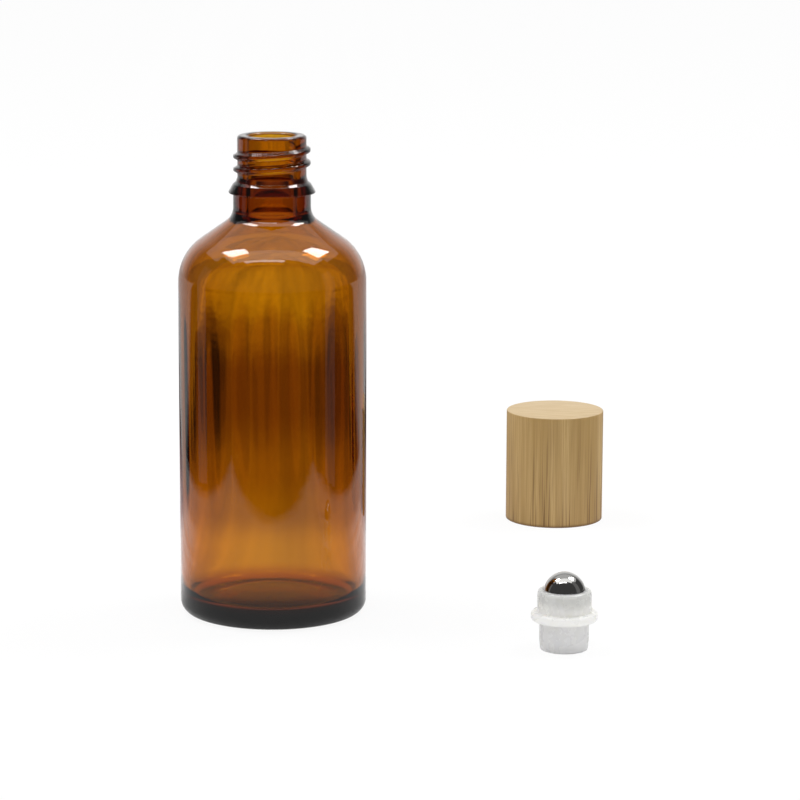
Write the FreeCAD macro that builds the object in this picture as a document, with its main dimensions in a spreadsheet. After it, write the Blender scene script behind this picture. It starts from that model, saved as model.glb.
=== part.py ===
import FreeCAD, Part
import os
import Sketcher

# A 100 ml glass bottle with a screw neck, its push-in ball insert and its bamboo screw cap.
# The three items stand apart on one surface, as they do before they are put together.
# Millimetres and degrees, +Z up, origin at the centre of the bottle's base.
SIZES = [
    # Glass bottle: body
    ("bottle_height", 112.0, "surface to rim"),
    ("body_diameter", 43.5, "straight side wall"),
    ("body_wall", 2.0, "glass of the side wall and shoulder"),
    ("base_thickness", 4.5, "surface to the floor inside"),
    ("heel_radius", 3.0, "rounded foot of the side wall"),
    ("ring_width", 2.5, "flat ring that the bottle stands on"),
    ("push_up", 1.4, "height of the dome under the base"),
    ("floor_radius", 5.0, "rounded corner inside at the floor"),
    ("shoulder_drop", 33.4, "rim to the top of the straight wall"),
    ("shoulder_radius", 12.0, "round of the shoulder"),
    ("shoulder_slope", 35.0, "slope above that round, degrees"),
    ("neck_fillet", 4.0, "hollow round from slope to stem"),
    ("bore_flare", 6.0, "round from the bore into the shoulder"),
    # Glass bottle: neck
    ("stem_diameter", 17.9, "neck under the collar"),
    ("collar_diameter", 20.3, "lower edge of the collar"),
    ("collar_drop", 13.3, "rim to the collar's underside"),
    ("collar_band", 1.9, "height of the collar's steep band"),
    ("collar_draft", 0.45, "how far that band leans in"),
    ("collar_slope", 1.75, "height of the slope above the band"),
    ("neck_diameter", 15.9, "neck between the ridges"),
    ("neck_wall", 2.45, "glass from neck to bore"),
    ("rim_round", 0.7, "outer edge of the rim"),
    ("bore_round", 0.5, "inner edge of the rim"),
    # Screw thread of neck and cap
    ("thread_pitch", 3.0, "rise in one turn"),
    ("thread_height", 0.95, "ridge above the neck"),
    ("thread_drop", 7.55, "rim to the ridge where it is whole"),
    ("thread_start", 180.0, "where the ridge is whole, degrees"),
    ("thread_turns", 1.5, "turns of the whole ridge"),
    ("thread_fade", 0.17, "turns in which each end fades out"),
    ("cap_thread_height", 0.75, "ridge inside the cap"),
    ("cap_thread_start", 240.0, "where the cap's ridge is whole, degrees"),
    ("cap_thread_turns", 1.2, "turns of the cap's whole ridge"),
    ("ridge_round", 0.4, "height of a ridge's rounded crest"),
    ("ridge_crest", 0.65, "half width under the rounded crest"),
    ("ridge_foot", 0.95, "half width at the ridge's foot"),
    ("ridge_sink", 0.3, "how far the foot is set into the wall"),
    ("thread_clearance", 0.2, "neck ridge to the cap's wall"),
    # Ball insert
    ("ball_diameter", 9.525, "steel ball"),
    ("ball_clearance", 0.04, "ball to socket"),
    ("lip_rise", 0.8, "lip above the ball's centre"),
    ("cup_diameter", 12.2, "outside of the cup"),
    ("cup_height", 5.0, "lip above the flange"),
    ("cup_round", 0.8, "outer edge of the lip"),
    ("flange_diameter", 15.0, "flange that sits on the rim"),
    ("flange_thickness", 2.0, "between plug and cup"),
    ("flange_round", 0.7, "edges of the flange"),
    ("cup_fillet", 0.3, "hollow round from cup to flange"),
    ("plug_length", 6.7, "below the flange"),
    ("plug_interference", 0.1, "plug diameter over the bore"),
    ("plug_wall", 1.25, "wall of the hollow plug"),
    ("lead_in", 2.2, "height of the taper at the plug's end"),
    ("lead_in_depth", 0.2, "how far that taper goes in"),
    ("plug_round", 0.3, "lower edge of the plug"),
    ("feed_diameter", 4.8, "hole that wets the ball"),
    ("web_thickness", 1.2, "floor of the socket at that hole"),
    # Cap: bamboo shell, threaded liner, foam pad
    ("cap_diameter", 25.2, "bamboo shell"),
    ("shell_top", 5.0, "bamboo over the liner"),
    ("shell_edge", 0.25, "broken edges of the shell"),
    ("glue_gap", 0.05, "liner to shell"),
    ("liner_wall", 1.2, "side of the liner"),
    ("liner_top", 1.2, "top of the liner"),
    ("liner_recess", 0.5, "liner above the shell's lower edge"),
    ("mouth_bevel", 0.4, "lead-in of the liner's mouth"),
    ("cap_gap", 0.9, "closed cap above the collar's band"),
    ("pad_thickness", 1.5, "foam pad"),
    ("pad_squeeze", 0.3, "how far the ball presses the pad"),
    ("pad_side_gap", 0.2, "pad to the liner's wall"),
    ("pad_play", 0.08, "pad to the liner's top and to its bead"),
    ("bead_height", 0.35, "bead that keeps the pad in"),
    ("bead_half", 0.45, "half height of that bead"),
    # Where the loose items stand, from the bottle's axis
    ("cap_x", 72.0, "cap"),
    ("cap_y", 95.0, "cap"),
    ("insert_x", 66.0, "ball insert"),
    ("insert_y", -35.0, "ball insert"),
]

doc = FreeCAD.newDocument("roll_on_bottle")
sheet = doc.addObject("Spreadsheet::Sheet", "sizes")
for row, (alias, value, note) in enumerate(SIZES, start=1):
    sheet.set(f"A{row}", note)
    sheet.set(f"B{row}", str(value))
    sheet.setAlias(f"B{row}", alias)
doc.recompute()


def measure(expression):
    """The number that an expression of the sheet's sizes gives now."""
    return float(sheet.evalExpression(expression))


def new_body(name, x="0", y="0", z="0"):
    """An empty body that stands at a place bound to the sheet."""
    body = doc.addObject("PartDesign::Body", name)
    body.Label = name
    bind_place(body, x, y, z)
    return body


def bind_place(piece, x, y, z):
    for axis, expression in zip("xyz", (x, y, z)):
        piece.setExpression(f"Placement.Base.{axis}", expression)


def new_sketch(body, name):
    """An empty sketch in the body's XZ plane: sketch X is the radius, sketch Y the height."""
    planes = {feature.Role: feature for feature in body.Origin.OriginFeatures}
    sketch = body.newObject("Sketcher::SketchObject", name)
    sketch.AttachmentSupport = [(planes["XZ_Plane"], "")]
    sketch.MapMode = "FlatFace"
    return sketch


def arc_between(start, end, radius, turn):
    """The short arc from start to end; turn is 1 for anticlockwise and -1 for clockwise."""
    chord = end - start
    side = FreeCAD.Vector(-chord.y, chord.x, 0).normalize()
    rise = (radius ** 2 - chord.Length ** 2 / 4) ** 0.5
    centre = (start + end) / 2 + side * rise * turn
    middle = centre - side * radius * turn
    return Part.Arc(start, middle, end)


def draw(sketch, corners):
    """Draw a closed outline whose corners and radii follow the sheet.

    A corner is (radius, height), or (radius, height, arc radius, turn) when an arc leads to it.
    """
    places = [FreeCAD.Vector(measure(corner[0]), measure(corner[1]), 0) for corner in corners]
    ends = []
    for index, corner in enumerate(corners):
        before, here = places[index - 1], places[index]
        if len(corner) == 2:
            edge = sketch.addGeometry(Part.LineSegment(before, here))
            ends.append((edge, 1, 2))
        else:
            edge = sketch.addGeometry(arc_between(before, here, measure(corner[2]), corner[3]))
            ends.append((edge, 1, 2) if corner[3] > 0 else (edge, 2, 1))
    for index, corner in enumerate(corners):
        edge, first, last = ends[index]
        follower, follower_first, follower_last = ends[(index + 1) % len(ends)]
        sketch.addConstraint(Sketcher.Constraint("Coincident", edge, last, follower, follower_first))
        place_point(sketch, edge, last, corner, places[index])
        if len(corner) == 4:
            radius = Sketcher.Constraint("Radius", edge, measure(corner[2]))
            bind_constraint(sketch, sketch.addConstraint(radius), corner[2])
    doc.recompute()


def place_point(sketch, edge, point, corner, place):
    """Tie one corner to the axis or to its radius, and to its height."""
    if corner[0] == "0":
        sketch.addConstraint(Sketcher.Constraint("PointOnObject", edge, point, -2))
    else:
        across = Sketcher.Constraint("DistanceX", -1, 1, edge, point, place.x)
        bind_constraint(sketch, sketch.addConstraint(across), corner[0])
    if corner[1] == "0":
        sketch.addConstraint(Sketcher.Constraint("PointOnObject", edge, point, -1))
    else:
        up = Sketcher.Constraint("DistanceY", -1, 1, edge, point, place.y)
        bind_constraint(sketch, sketch.addConstraint(up), corner[1])


def bind_constraint(sketch, index, expression):
    sketch.setExpression(f"Constraints[{index}]", expression)


def turn_outline(body, name, corners):
    """Turn an outline round the body's Z axis."""
    sketch = new_sketch(body, f"{name}_outline")
    draw(sketch, corners)
    turned = body.newObject("PartDesign::Revolution", name)
    turned.Profile = sketch
    turned.ReferenceAxis = (sketch, ["V_Axis"])
    turned.Angle = 360
    doc.recompute()
    return turned


def sweep_ridge(body, name, wall, out, height, level, start, turns, growth):
    """Sweep one stretch of a thread's rounded ridge round the body's Z axis.

    out is "+" for a ridge that stands out from the wall and "-" for one that stands in.
    growth is how far the ridge moves out from the axis in one turn.
    """
    inward = "-" if out == "+" else "+"
    foot = f"{wall} {inward} sizes.ridge_sink"
    flank = f"{wall} {out} ({height} - sizes.ridge_round)"
    crest_radius = "(sizes.ridge_crest ^ 2 + sizes.ridge_round ^ 2) / (2 * sizes.ridge_round)"
    crest_turn = 1 if out == "+" else -1
    sketch = new_sketch(body, f"{name}_section")
    sketch.AttachmentOffset = FreeCAD.Placement(
        FreeCAD.Vector(), FreeCAD.Rotation(FreeCAD.Vector(0, 1, 0), measure(start)))
    sketch.setExpression("AttachmentOffset.Rotation.Angle", f"({start}) * 1 deg")
    draw(sketch, [
        (foot, f"{level} - sizes.ridge_foot"),
        (flank, f"{level} - sizes.ridge_crest"),
        (flank, f"{level} + sizes.ridge_crest", crest_radius, crest_turn),
        (foot, f"{level} + sizes.ridge_foot"),
    ])
    ridge = body.newObject("PartDesign::AdditiveHelix", name)
    ridge.Profile = sketch
    ridge.ReferenceAxis = (sketch, ["V_Axis"])
    ridge.Mode = "height-turns-growth"
    ridge.setExpression("Turns", turns)
    ridge.setExpression("Height", f"sizes.thread_pitch * {turns}")
    ridge.setExpression("Growth", growth)
    doc.recompute()
    return ridge


def add_thread(body, wall, out, height, level, start, turns):
    """A screw ridge on a round wall, whose two ends fade into the wall."""
    fade = "sizes.thread_fade"
    depth = f"({height} + sizes.ridge_sink / 2)"
    inward = "-" if out == "+" else "+"
    sunk_wall = f"{wall} {inward} {depth}"
    low_level = f"{level} - sizes.thread_pitch * {fade}"
    high_level = f"{level} + sizes.thread_pitch * {turns}"
    sweep_ridge(body, "thread", wall, out, height, level, start, turns, "0")
    sweep_ridge(body, "thread_lower_end", sunk_wall, out, height, low_level,
                f"{start} - 360 * {fade}", fade, f"{out}{depth} / {fade}")
    sweep_ridge(body, "thread_upper_end", wall, out, height, high_level,
                f"{start} + 360 * {turns}", fade, f"{inward}{depth} / {fade}")


# Heights and radii that several pieces share.
RIM = "sizes.bottle_height"
NECK_R = "sizes.neck_diameter / 2"
BORE_R = "(sizes.neck_diameter / 2 - sizes.neck_wall)"
PLUG_R = f"({BORE_R} + sizes.plug_interference / 2)"
BALL_R = "sizes.ball_diameter / 2"
FLANGE_TOP = "(sizes.plug_length + sizes.flange_thickness)"
LIP = f"({FLANGE_TOP} + sizes.cup_height)"
BALL_CENTRE = f"({LIP} - sizes.lip_rise)"
LINER_R = "(sizes.neck_diameter / 2 + sizes.thread_height + sizes.thread_clearance)"
SHELL_R = f"({LINER_R} + sizes.liner_wall + sizes.glue_gap)"
# Heights in the cap run up from the shell's lower edge.
SKIRT = "(sizes.collar_drop - sizes.collar_band - sizes.cap_gap)"
PAD_LOW = f"({SKIRT} + {BALL_CENTRE} - sizes.plug_length + {BALL_R} - sizes.pad_squeeze)"
PAD_HIGH = f"({PAD_LOW} + sizes.pad_thickness)"
LINER_CEILING = f"({PAD_HIGH} + sizes.pad_play)"
LINER_HIGH = f"({LINER_CEILING} + sizes.liner_top)"
CAP_HIGH = f"({LINER_HIGH} + sizes.shell_top)"


def make_glass_bottle():
    """Amber glass: body, shoulder, collar and screw neck, hollow and closed at the base."""
    body = new_body("glass_bottle")
    side = "sizes.body_diameter / 2"
    inside = f"({side} - sizes.body_wall)"
    stem = "sizes.stem_diameter / 2"
    slope = "sizes.shoulder_slope"
    shoulder = f"({RIM} - sizes.shoulder_drop)"
    shoulder_centre = f"({side} - sizes.shoulder_radius)"
    inner_radius = "(sizes.shoulder_radius - sizes.body_wall)"
    # The outer slope leaves the shoulder's round, and the inner slope runs parallel to it.
    slope_r = f"({shoulder_centre} + sizes.shoulder_radius * sin({slope}))"
    slope_z = f"({shoulder} + sizes.shoulder_radius * cos({slope}))"
    inner_slope_r = f"({shoulder_centre} + {inner_radius} * sin({slope}))"
    inner_slope_z = f"({shoulder} + {inner_radius} * cos({slope}))"
    # Each slope ends where the round that leads to the stem, or to the bore, touches it.
    fillet_r = f"({stem} + sizes.neck_fillet * (1 - sin({slope})))"
    fillet_z = f"({slope_z} + ({slope_r} - {fillet_r}) * tan({slope}))"
    stem_z = f"{fillet_z} + sizes.neck_fillet * cos({slope})"
    flare_r = f"({BORE_R} + sizes.bore_flare * (1 - sin({slope})))"
    flare_z = f"({inner_slope_z} + ({inner_slope_r} - {flare_r}) * tan({slope}))"
    bore_z = f"{flare_z} + sizes.bore_flare * cos({slope})"
    ring_out = f"{side} - sizes.heel_radius"
    ring_in = f"({ring_out} - sizes.ring_width)"
    dome_radius = f"({ring_in} ^ 2 + sizes.push_up ^ 2) / (2 * sizes.push_up)"
    collar_low = f"{RIM} - sizes.collar_drop"
    collar_mid = f"{collar_low} + sizes.collar_band"
    collar_high = f"{collar_mid} + sizes.collar_slope"
    turn_outline(body, "glass", [
        ("0", "sizes.push_up"),
        (ring_in, "0", dome_radius, -1),
        (ring_out, "0"),
        (side, "sizes.heel_radius", "sizes.heel_radius", 1),
        (side, shoulder),
        (slope_r, slope_z, "sizes.shoulder_radius", 1),
        (fillet_r, fillet_z),
        (stem, stem_z, "sizes.neck_fillet", -1),
        (stem, collar_low),
        ("sizes.collar_diameter / 2", collar_low),
        ("sizes.collar_diameter / 2 - sizes.collar_draft", collar_mid),
        (NECK_R, collar_high),
        (NECK_R, f"{RIM} - sizes.rim_round"),
        (f"{NECK_R} - sizes.rim_round", RIM, "sizes.rim_round", 1),
        (f"{BORE_R} + sizes.bore_round", RIM),
        (BORE_R, f"{RIM} - sizes.bore_round", "sizes.bore_round", 1),
        (BORE_R, bore_z),
        (flare_r, flare_z, "sizes.bore_flare", 1),
        (inner_slope_r, inner_slope_z),
        (inside, shoulder, inner_radius, -1),
        (inside, "sizes.base_thickness + sizes.floor_radius"),
        (f"{inside} - sizes.floor_radius", "sizes.base_thickness", "sizes.floor_radius", -1),
        ("0", "sizes.base_thickness"),
    ])
    add_thread(body, NECK_R, "+", "sizes.thread_height", f"{RIM} - sizes.thread_drop",
               "sizes.thread_start", "sizes.thread_turns")
    return body


def make_roller_housing():
    """Natural polypropylene: hollow plug, flange, and a cup that snaps over the ball."""
    body = new_body("roller_housing", "sizes.insert_x", "sizes.insert_y")
    socket = f"({BALL_R} + sizes.ball_clearance)"
    lip_r = f"sqrt({socket} ^ 2 - sizes.lip_rise ^ 2)"
    feed = "sizes.feed_diameter / 2"
    feed_z = f"({BALL_CENTRE} - sqrt({socket} ^ 2 - ({feed}) ^ 2))"
    web = f"{feed_z} - sizes.web_thickness"
    plug_in = f"{PLUG_R} - sizes.plug_wall"
    plug_end = f"({PLUG_R} - sizes.lead_in_depth)"
    flange = "sizes.flange_diameter / 2"
    cup = "sizes.cup_diameter / 2"
    turn_outline(body, "moulding", [
        (plug_in, "0"),
        (f"{plug_end} - sizes.plug_round", "0"),
        (plug_end, "sizes.plug_round", "sizes.plug_round", 1),
        (PLUG_R, "sizes.lead_in"),
        (PLUG_R, "sizes.plug_length"),
        (f"{flange} - sizes.flange_round", "sizes.plug_length"),
        (flange, "sizes.plug_length + sizes.flange_round", "sizes.flange_round", 1),
        (flange, f"{FLANGE_TOP} - sizes.flange_round"),
        (f"{flange} - sizes.flange_round", FLANGE_TOP, "sizes.flange_round", 1),
        (f"{cup} + sizes.cup_fillet", FLANGE_TOP),
        (cup, f"{FLANGE_TOP} + sizes.cup_fillet", "sizes.cup_fillet", -1),
        (cup, f"{LIP} - sizes.cup_round"),
        (f"{cup} - sizes.cup_round", LIP, "sizes.cup_round", 1),
        (lip_r, LIP),
        (feed, feed_z, socket, -1),
        (feed, web),
        (plug_in, web),
    ])
    return body


def make_roller_ball():
    """A polished steel ball."""
    ball = doc.addObject("Part::Sphere", "roller_ball")
    ball.Label = "roller_ball"
    ball.setExpression("Radius", BALL_R)
    bind_place(ball, "sizes.insert_x", "sizes.insert_y", BALL_CENTRE)
    return ball


def make_cap_shell():
    """Turned bamboo, bored out for the liner."""
    body = new_body("cap_shell", "sizes.cap_x", "sizes.cap_y")
    outside = "sizes.cap_diameter / 2"
    turn_outline(body, "bamboo", [
        (f"{SHELL_R} + sizes.shell_edge", "0"),
        (f"{outside} - sizes.shell_edge", "0"),
        (outside, "sizes.shell_edge"),
        (outside, f"{CAP_HIGH} - sizes.shell_edge"),
        (f"{outside} - sizes.shell_edge", CAP_HIGH, "sizes.shell_edge", 1),
        ("0", CAP_HIGH),
        ("0", LINER_HIGH),
        (SHELL_R, LINER_HIGH),
        (SHELL_R, "sizes.shell_edge"),
    ])
    return body


def make_cap_liner():
    """Moulded liner glued into the shell, with the screw thread and the pad's bead."""
    body = new_body("cap_liner", "sizes.cap_x", "sizes.cap_y")
    outside = f"{LINER_R} + sizes.liner_wall"
    bead = f"{PAD_LOW} - sizes.pad_play - sizes.bead_half"
    bead_radius = "(sizes.bead_half ^ 2 + sizes.bead_height ^ 2) / (2 * sizes.bead_height)"
    turn_outline(body, "moulding", [
        (f"{LINER_R} + sizes.mouth_bevel", "sizes.liner_recess"),
        (outside, "sizes.liner_recess"),
        (outside, LINER_HIGH),
        ("0", LINER_HIGH),
        ("0", LINER_CEILING),
        (LINER_R, LINER_CEILING),
        (LINER_R, f"{bead} + sizes.bead_half"),
        (LINER_R, f"{bead} - sizes.bead_half", bead_radius, 1),
        (LINER_R, "sizes.liner_recess + sizes.mouth_bevel"),
    ])
    # On the closed cap this ridge lies half a pitch under the neck's ridge.
    level = (f"{SKIRT} - sizes.thread_drop - sizes.thread_pitch / 2"
             " + sizes.thread_pitch * (sizes.cap_thread_start - sizes.thread_start) / 360")
    add_thread(body, LINER_R, "-", "sizes.cap_thread_height", level,
               "sizes.cap_thread_start", "sizes.cap_thread_turns")
    return body


def make_seal_pad():
    """A disc of foam that the bead keeps in the top of the liner."""
    pad = doc.addObject("Part::Cylinder", "seal_pad")
    pad.Label = "seal_pad"
    pad.setExpression("Radius", f"{LINER_R} - sizes.pad_side_gap")
    pad.setExpression("Height", "sizes.pad_thickness")
    bind_place(pad, "sizes.cap_x", "sizes.cap_y", PAD_LOW)
    return pad


pieces = [
    make_glass_bottle(),
    make_roller_housing(),
    make_roller_ball(),
    make_cap_shell(),
    make_cap_liner(),
    make_seal_pad(),
]
doc.recompute()

failed = [item.Label for item in doc.Objects if {"Invalid", "Error"} & set(item.State)]
if failed:
    raise RuntimeError(f"features that failed: {failed}")
for piece in pieces:
    shape = piece.Shape
    if shape.isNull() or not shape.isValid() or len(shape.Solids) != 1:
        raise RuntimeError(f"{piece.Label} is not one sound solid")

os.makedirs("parts", exist_ok=True)
for piece in pieces:
    piece.Shape.exportStep(f"parts/{piece.Label}.step")
    print(f"{piece.Label}: {piece.Shape.Volume / 1000:.3f} cm3")
print(f"cap {measure(CAP_HIGH):.2f} mm high, insert {measure(BALL_CENTRE + ' + ' + BALL_R):.2f} mm")
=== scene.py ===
# %% [markdown]
# # A roll-on bottle in glass, bamboo, plastic and steel
# The object is three items on one table: an amber glass bottle with a screw neck, a push-in
# insert that holds a steel ball, and a bamboo cap. This lesson turns each of them on a
# lathe, as their makers would, and then spends most of its time on what light does in
# coloured glass, in milky plastic and on wood grain. The measured model is loaded first,
# and nothing in it is moved.

# %% Load the measured model
import math

import bpy
import numpy as np
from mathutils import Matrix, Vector


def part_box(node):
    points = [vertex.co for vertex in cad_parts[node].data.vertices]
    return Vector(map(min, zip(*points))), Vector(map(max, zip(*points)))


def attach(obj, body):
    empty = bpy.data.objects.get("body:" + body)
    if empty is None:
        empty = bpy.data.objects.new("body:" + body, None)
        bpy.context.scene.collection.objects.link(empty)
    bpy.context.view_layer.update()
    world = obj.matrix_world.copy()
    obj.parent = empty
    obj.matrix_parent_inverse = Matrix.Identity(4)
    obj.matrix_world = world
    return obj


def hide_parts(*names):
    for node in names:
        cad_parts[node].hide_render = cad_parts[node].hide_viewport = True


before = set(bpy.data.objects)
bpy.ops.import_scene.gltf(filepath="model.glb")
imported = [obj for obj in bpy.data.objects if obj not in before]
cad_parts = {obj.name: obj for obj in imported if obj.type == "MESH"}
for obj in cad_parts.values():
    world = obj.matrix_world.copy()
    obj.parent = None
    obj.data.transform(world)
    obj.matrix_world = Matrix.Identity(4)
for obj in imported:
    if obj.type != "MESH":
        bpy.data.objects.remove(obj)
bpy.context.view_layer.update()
MM = 0.001
print("pieces in the model:", sorted(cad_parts))

# %% [markdown]
# ## The three axes
# Everything here is round, so each item needs only the place of its axis and a few heights.
# They could be typed in, but the boxes of the measured pieces give them, which keeps the
# new pieces in step with the model. An axis is kept as a point on the table, and sizes are
# kept in millimetres.

# %% Where the bottle, the insert and the cap stand
def axis_of(node):
    low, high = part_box(node)
    return Vector(((low.x + high.x) / 2, (low.y + high.y) / 2, 0))


def radius_of(node, axis):
    return (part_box(node)[1].x - axis.x) / MM


def foot_and_top(node):
    low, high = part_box(node)
    return low.z / MM, high.z / MM


bottle_axis = axis_of("glass_bottle")
insert_axis = axis_of("roller_housing")
cap_axis = axis_of("cap_shell")
RIM = foot_and_top("glass_bottle")[1]
BODY_RADIUS = radius_of("glass_bottle", bottle_axis)
CAP_TOP = foot_and_top("cap_shell")[1]
CAP_RADIUS = radius_of("cap_shell", cap_axis)
PAD_BOTTOM, PAD_TOP = foot_and_top("seal_pad")
PAD_RADIUS = radius_of("seal_pad", cap_axis)
LIP = foot_and_top("roller_housing")[1]
FLANGE_RADIUS = radius_of("roller_housing", insert_axis)
BALL_RADIUS = radius_of("roller_ball", insert_axis)
BALL_HEIGHT = foot_and_top("roller_ball")[0] + BALL_RADIUS
print(f"rim {RIM:.1f} mm, body radius {BODY_RADIUS:.2f} mm, cap {CAP_TOP:.1f} mm high")

# %% [markdown]
# ## A lathe for outlines
# A turned or moulded round piece is drawn as half of its cross-section. By hand one would
# extrude a vertex from corner to corner, round the corners, and spin the line about the
# axis. The rounds are tangent arcs worked out from a corner and a radius, because a bevel
# tool would not hit a given radius on a slope. A long straight run can be cut into short
# steps, so that it can take a screw thread later.

# %% Round the corners of an outline
ARC_STEPS = 10


def rounded(corners, steps=ARC_STEPS):
    """Corners as (radius, height, round) in millimetres, each corner with a tangent arc."""
    path = []
    for index, (r, z, fillet) in enumerate(corners):
        here = Vector((r, z))
        inner = 0 < index < len(corners) - 1
        if not fillet or not inner:
            path.append(here)
            continue
        back = (Vector(corners[index - 1][:2]) - here).normalized()
        ahead = (Vector(corners[index + 1][:2]) - here).normalized()
        half = back.angle(ahead) / 2
        reach = fillet / math.tan(half)
        centre = here + (back + ahead).normalized() * (fillet / math.sin(half))
        first = here + back * reach - centre
        last = here + ahead * reach - centre
        sweep = first.angle_signed(last)
        start = math.atan2(first.y, first.x)
        for step in range(steps + 1):
            turn = start - sweep * step / steps
            path.append(centre + Vector((math.cos(turn), math.sin(turn))) * fillet)
    return path


print("a rounded corner is drawn with", ARC_STEPS + 1, "points")

# %% Cut a straight run into short steps
ON_LINE = 0.01


def stepped(path, radius, step):
    """The same path, with its upright run at that radius cut into short steps."""
    cut = [path[0]]
    for before, here in zip(path, path[1:]):
        if abs(before.x - radius) < ON_LINE and abs(here.x - radius) < ON_LINE:
            count = max(1, round((here - before).length / step))
            cut += [before.lerp(here, k / count) for k in range(1, count)]
        cut.append(here)
    return cut


print("a run counts as upright within", ON_LINE, "mm")

# %% Spin an outline into a piece
FINE_SPIN, MIDDLE_SPIN, PAD_SPIN = 192, 128, 96
MERGE = 0.002 * MM


def turn_piece(name, path, axis, steps):
    """Extrude one vertex along the path, and spin the line about the axis."""
    bpy.ops.object.select_all(action="DESELECT")
    bpy.ops.mesh.primitive_plane_add(size=MM)
    piece = bpy.context.object
    piece.name = name
    piece.data.name = name
    bpy.ops.object.mode_set(mode="EDIT")
    bpy.ops.mesh.select_all(action="SELECT")
    bpy.ops.mesh.merge(type="CENTER")
    place = Vector((axis.x + path[0].x * MM, axis.y, path[0].y * MM))
    bpy.ops.transform.translate(value=place)
    for before, here in zip(path, path[1:]):
        move = ((here.x - before.x) * MM, 0, (here.y - before.y) * MM)
        bpy.ops.mesh.extrude_region_move(TRANSFORM_OT_translate={"value": move})
    bpy.ops.mesh.select_all(action="SELECT")
    bpy.ops.mesh.spin(steps=steps, angle=math.tau, center=axis, axis=(0, 0, 1))
    bpy.ops.mesh.select_all(action="SELECT")
    bpy.ops.mesh.remove_doubles(threshold=MERGE)
    bpy.ops.mesh.normals_make_consistent(inside=False)
    bpy.ops.object.mode_set(mode="OBJECT")
    bpy.ops.object.shade_smooth()
    print(f"{name}: {len(piece.data.polygons)} faces")
    return piece


# %% [markdown]
# ## The glass bottle
# The bottle is blown in a mould, so its outside is crisp and its corners are soft. The
# outline goes up the outside from the hollow under the base, over the rim, and down the
# inside to the floor. Both walls are in one closed skin, because glass bends light where it
# meets air, and a single sheet would look like a soap bubble. The slope of the shoulder is
# 35 degrees, and the corners where it meets the wall and the neck follow from that. Inside,
# the floor swells up over the hollow of the base, the air leaves a wide round in the heel,
# and the foot of the bore has a crisp edge.

# %% Sizes of the bottle
SLOPE = math.radians(35)
SHOULDER_DROP, SHOULDER_ROUND = 33.85, 12.0
WALL = 2.0
STEM, COLLAR, NECK, BORE = 8.95, 10.15, 7.95, 5.5
STEM_ROUND, RIM_OUTER, RIM_INNER, BORE_ROUND = 4.0, 0.7, 0.9, 1.2
# The base is a hollow in a ring, and a shallow dome has 3/4 of its height halfway out.
HOLLOW, RING_INNER, RING_ROUND, HEEL_ROUND = 2.2, 16.25, 1.5, 3.0
FLOOR, FLOOR_DOME, HEEL_INSIDE = 2.2, 3.2, 4.0
HALFWAY_UP, HOLLOW_ROUND, DOME_ROUND = 0.75, 40.0, 30.0
# The collar has a sharp lower edge, a face that leans in, and a soft step up to the neck.
COLLAR_LOW = RIM - 13.3
COLLAR_LEAN, FACE_TOP, FACE_ROUND = 1.15, COLLAR_LOW + 2.05, 0.35
STEP_OUT, STEP_TOP, STEP_ROUND = 0.35, COLLAR_LOW + 2.65, 0.5
NECK_FOOT, FOOT_ROUND = COLLAR_LOW + 3.65, 0.9
UNDER_COLLAR, COLLAR_EDGE = 0.35, 0.22
# Each slope is tangent to the round of its own wall.
inner_radius = BODY_RADIUS - WALL
inner_round = SHOULDER_ROUND - WALL
tangent = math.tan(math.pi / 4 - SLOPE / 2)
slope_foot = RIM - SHOULDER_DROP + SHOULDER_ROUND * tangent
inner_foot = RIM - SHOULDER_DROP + inner_round * tangent
stem_foot = slope_foot + (BODY_RADIUS - STEM) * math.tan(SLOPE)
bore_foot = inner_foot + (inner_radius - BORE) * math.tan(SLOPE)
print(f"the stem meets the slope at {stem_foot:.2f} mm, the bore ends at {bore_foot:.2f} mm")

# %% Outline of the bottle, turned
THREAD_STEP, WALL_STEP = 0.16, 2.5
outside = [
    (0, HOLLOW, 0), (RING_INNER / 2, HALFWAY_UP * HOLLOW, HOLLOW_ROUND),
    (RING_INNER, 0, RING_ROUND), (BODY_RADIUS, 0, HEEL_ROUND),
    (BODY_RADIUS, slope_foot, SHOULDER_ROUND), (STEM, stem_foot, STEM_ROUND),
    (STEM, COLLAR_LOW, UNDER_COLLAR), (COLLAR, COLLAR_LOW, COLLAR_EDGE),
    (COLLAR - COLLAR_LEAN, FACE_TOP, FACE_ROUND), (NECK + STEP_OUT, STEP_TOP, STEP_ROUND),
    (NECK, NECK_FOOT, FOOT_ROUND), (NECK, RIM, RIM_OUTER),
]
inside = [
    (BORE, RIM, RIM_INNER), (BORE, bore_foot, BORE_ROUND),
    (inner_radius, inner_foot, inner_round), (inner_radius, FLOOR, HEEL_INSIDE),
    (inner_radius / 2, FLOOR + HALFWAY_UP * FLOOR_DOME, DOME_ROUND),
    (0, FLOOR + FLOOR_DOME, 0),
]
outline = rounded(outside + inside)
for wall, step in ((NECK, THREAD_STEP), (inner_radius, WALL_STEP), (BODY_RADIUS, WALL_STEP)):
    outline = stepped(outline, wall, step)
bottle = turn_piece("bottle_glass", outline, bottle_axis, FINE_SPIN)

# %% [markdown]
# ## The screw thread
# The thread is one rounded ridge that climbs 3 mm in a turn, starts out of the glass and
# fades back into it. A separate coil would leave a skin inside the glass and show as a dark
# line. So the fine steps of the neck are pushed outwards instead, each vertex by the height
# that the ridge has at its angle and level, as a sculptor would raise it.

# %% Read and write a round piece
def read_round(piece, axis):
    """Angle, radius and height of each vertex about the axis, in radians and millimetres."""
    flat = np.empty(len(piece.data.vertices) * 3)
    piece.data.vertices.foreach_get("co", flat)
    x, y, z = ((flat.reshape(-1, 3) - np.array(axis)) / MM).T
    return np.arctan2(y, x) % math.tau, np.hypot(x, y), z


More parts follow.
